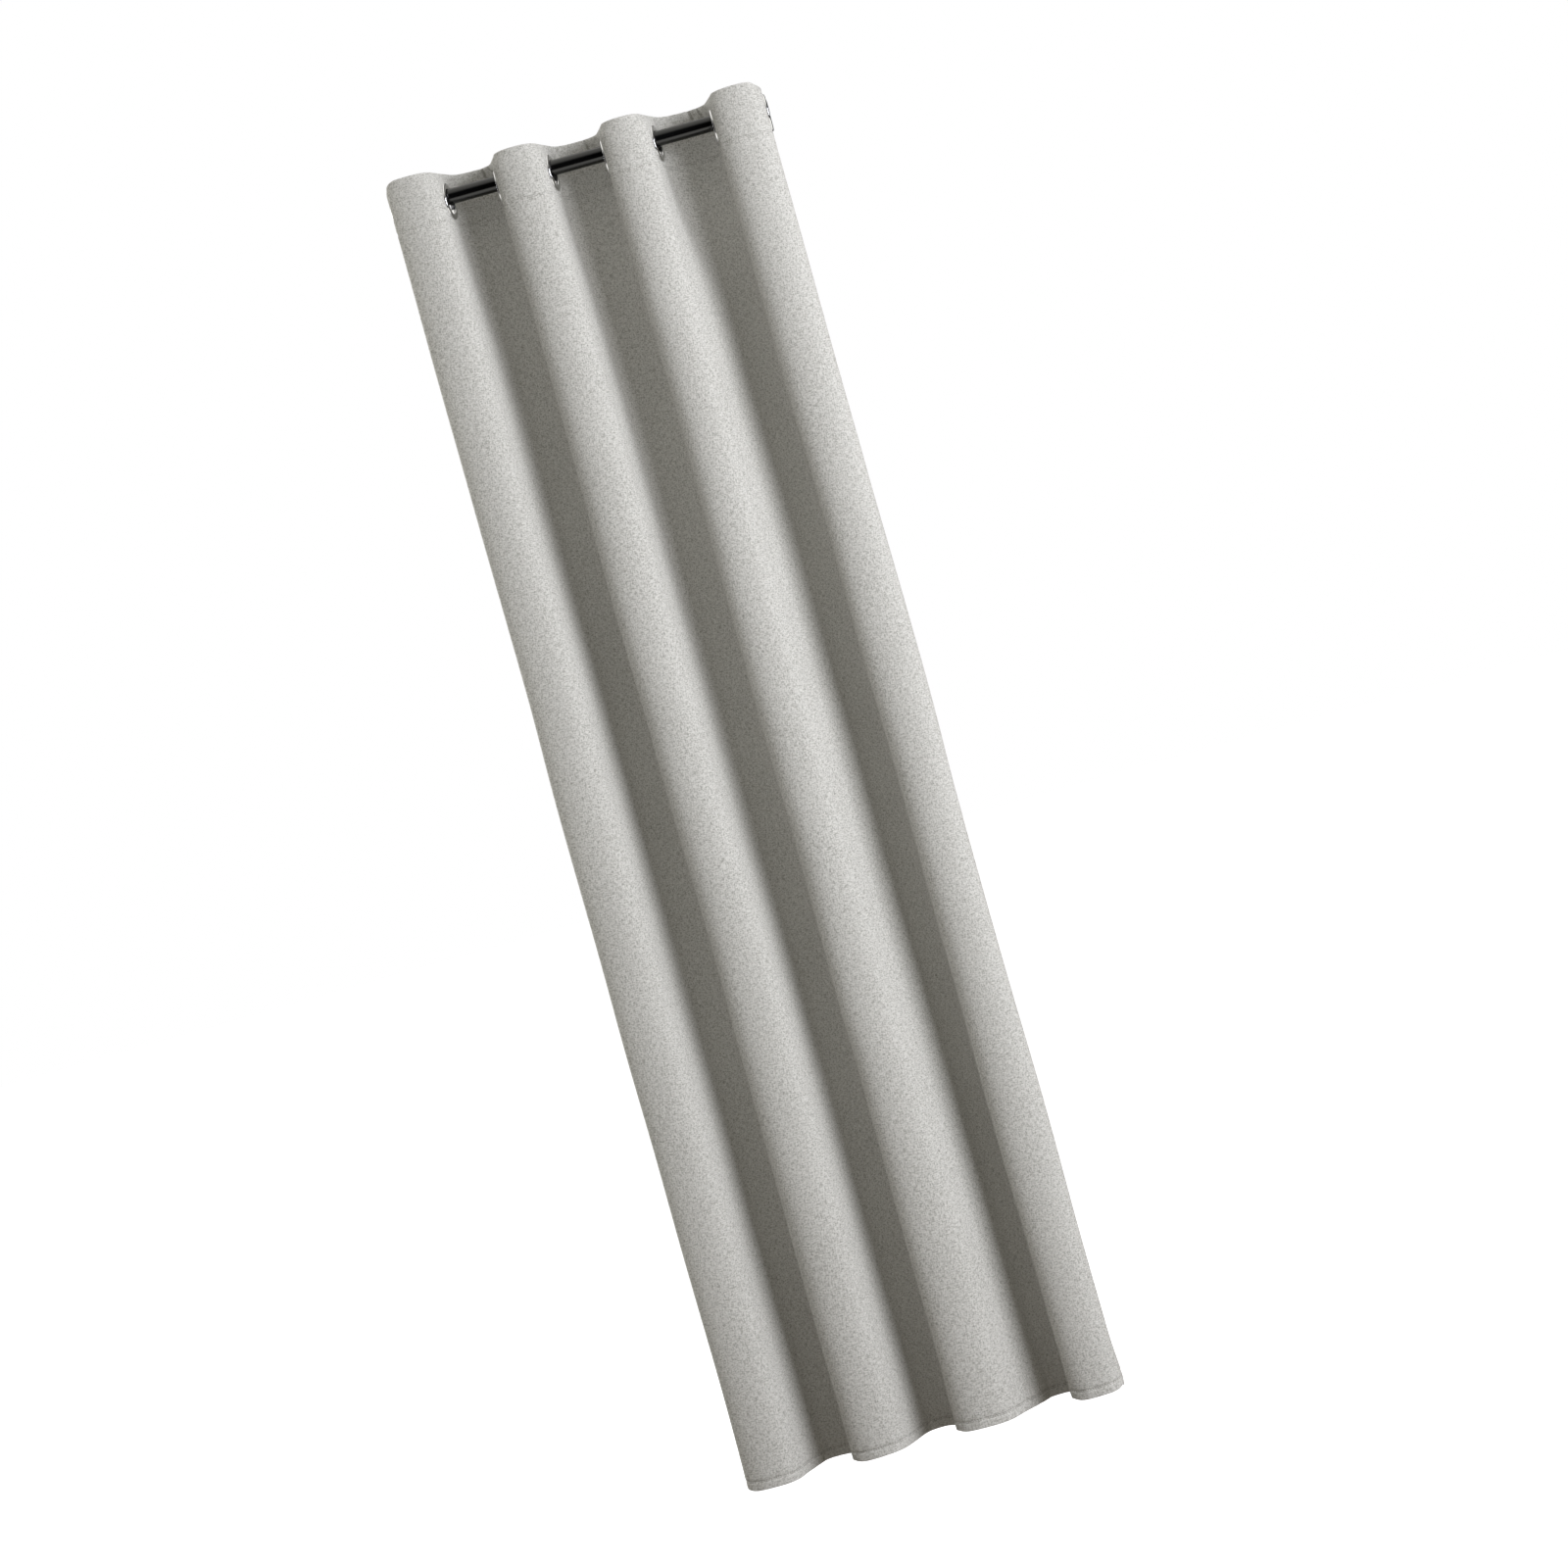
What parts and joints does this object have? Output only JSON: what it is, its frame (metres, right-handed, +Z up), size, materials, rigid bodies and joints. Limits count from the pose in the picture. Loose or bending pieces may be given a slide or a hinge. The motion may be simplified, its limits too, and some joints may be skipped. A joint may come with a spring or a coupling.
{
  "type": "grommet curtain panel",
  "caption": "Linen-look curtain panel with metal-finish grommets, hanging in deep even folds from a stretch of black rod.",
  "frame": {"origin": "on the rod's axis, at the middle of its length", "axes": "+X along the rod to the viewer's right, -Y towards the room that the face cloth looks at, +Z up"},
  "size_m": [0.6187, 0.1156, 2.134],
  "materials": {
    "linen": "matte",
    "stiffener": "matte",
    "chrome_ring": "polished",
    "black_rod": "satin",
    "black_cap": "satin"
  },
  "bodies": {
    "rod": {"rod_tube": "black_rod", "rod_cap_left": "black_cap", "rod_cap_right": "black_cap"},
    "panel": {"face_fabric": "linen", "header_stiffener": "stiffener", "header_hem": "linen", "bottom_hem": "linen", "side_hem_left": "linen", "side_hem_right": "linen", "grommet_front_1": "chrome_ring", "grommet_back_1": "chrome_ring"},
    "grommet_2": {"grommet_front_2": "chrome_ring", "grommet_back_2": "chrome_ring"},
    "grommet_3": {"grommet_front_3": "chrome_ring", "grommet_back_3": "chrome_ring"},
    "grommet_4": {"grommet_front_4": "chrome_ring", "grommet_back_4": "chrome_ring"},
    "grommet_5": {"grommet_front_5": "chrome_ring", "grommet_back_5": "chrome_ring"},
    "grommet_6": {"grommet_front_6": "chrome_ring", "grommet_back_6": "chrome_ring"},
    "grommet_7": {"grommet_front_7": "chrome_ring", "grommet_back_7": "chrome_ring"},
    "grommet_8": {"grommet_front_8": "chrome_ring", "grommet_back_8": "chrome_ring"}
  },
  "joints": [
    {"name": "panel_swing", "type": "hinge", "parent": "rod", "child": "panel", "pos_m": [0, 0, 0], "axis": [1, 0, 0], "range_deg": [-20, 20]},
    {"name": "grommet_2_slide", "type": "slide", "parent": "panel", "child": "grommet_2", "axis": [1, 0, 0], "range_m": [-0.0533, 0]},
    {"name": "grommet_3_slide", "type": "slide", "parent": "panel", "child": "grommet_3", "axis": [1, 0, 0], "range_m": [-0.1031, 0]},
    {"name": "grommet_4_slide", "type": "slide", "parent": "panel", "child": "grommet_4", "axis": [1, 0, 0], "range_m": [-0.1547, 0]},
    {"name": "grommet_5_slide", "type": "slide", "parent": "panel", "child": "grommet_5", "axis": [1, 0, 0], "range_m": [-0.2081, 0]},
    {"name": "grommet_6_slide", "type": "slide", "parent": "panel", "child": "grommet_6", "axis": [1, 0, 0], "range_m": [-0.2579, 0]},
    {"name": "grommet_7_slide", "type": "slide", "parent": "panel", "child": "grommet_7", "axis": [1, 0, 0], "range_m": [-0.3155, 0]},
    {"name": "draw", "type": "slide", "parent": "panel", "child": "grommet_8", "axis": [1, 0, 0], "range_m": [-0.366, 0], "deforming": ["face_fabric", "header_stiffener", "header_hem", "bottom_hem", "side_hem_left", "side_hem_right"]}
  ],
  "couplings": [
    {"joint": "grommet_2_slide", "follows": "draw", "ratio": 0.14426},
    {"joint": "grommet_3_slide", "follows": "draw", "ratio": 0.28033},
    {"joint": "grommet_4_slide", "follows": "draw", "ratio": 0.42131},
    {"joint": "grommet_5_slide", "follows": "draw", "ratio": 0.56721},
    {"joint": "grommet_6_slide", "follows": "draw", "ratio": 0.70328},
    {"joint": "grommet_7_slide", "follows": "draw", "ratio": 0.86066}
  ]
}
